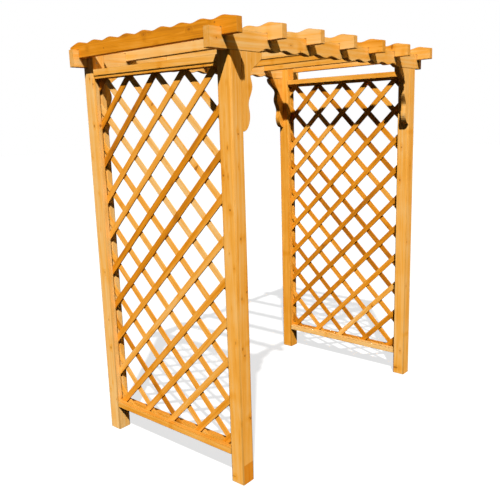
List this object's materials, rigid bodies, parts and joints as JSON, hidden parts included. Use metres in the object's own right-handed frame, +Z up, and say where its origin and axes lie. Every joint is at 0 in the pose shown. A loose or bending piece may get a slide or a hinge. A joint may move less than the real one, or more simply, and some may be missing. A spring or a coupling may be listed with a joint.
{
  "type": "cedar garden arbor",
  "caption": "Open-framed timber garden arbor: square posts, scalloped rafters on two headers, corner braces and diagonal lattice side panels.",
  "frame": {"origin": "on the ground, under the middle of the arbor's overall box", "axes": "+X along the headers to the right, +Y from the front to the back, +Z up"},
  "size_m": [2.285, 1.3106, 2.4623],
  "materials": {
    "post_timber": "planed and stained",
    "beam_timber": "planed and stained",
    "rail_timber": "planed and stained",
    "lattice_timber": "sawn and stained",
    "fastener_steel": "dull zinc plating"
  },
  "bodies": {
    "root": {"front_left_post": "post_timber", "front_right_post": "post_timber", "back_left_post": "post_timber", "back_right_post": "post_timber", "front_header": "beam_timber", "back_header": "beam_timber", "rafter_1": "beam_timber", "rafter_2": "beam_timber", "rafter_3": "beam_timber", "rafter_4": "beam_timber", "rafter_5": "beam_timber", "rafter_6": "beam_timber", "rafter_7": "beam_timber", "front_left_brace": "beam_timber", "front_right_brace": "beam_timber", "back_left_brace": "beam_timber", "back_right_brace": "beam_timber", "left_top_outer_rail": "rail_timber", "left_top_inner_rail": "rail_timber", "left_top_stops": "rail_timber", "left_bottom_outer_rail": "rail_timber", "left_bottom_inner_rail": "rail_timber", "left_lattice": "lattice_timber", "right_top_outer_rail": "rail_timber", "right_top_inner_rail": "rail_timber", "right_top_stops": "rail_timber", "right_bottom_outer_rail": "rail_timber", "right_bottom_inner_rail": "rail_timber", "right_lattice": "lattice_timber"}
  },
  "joints": []
}
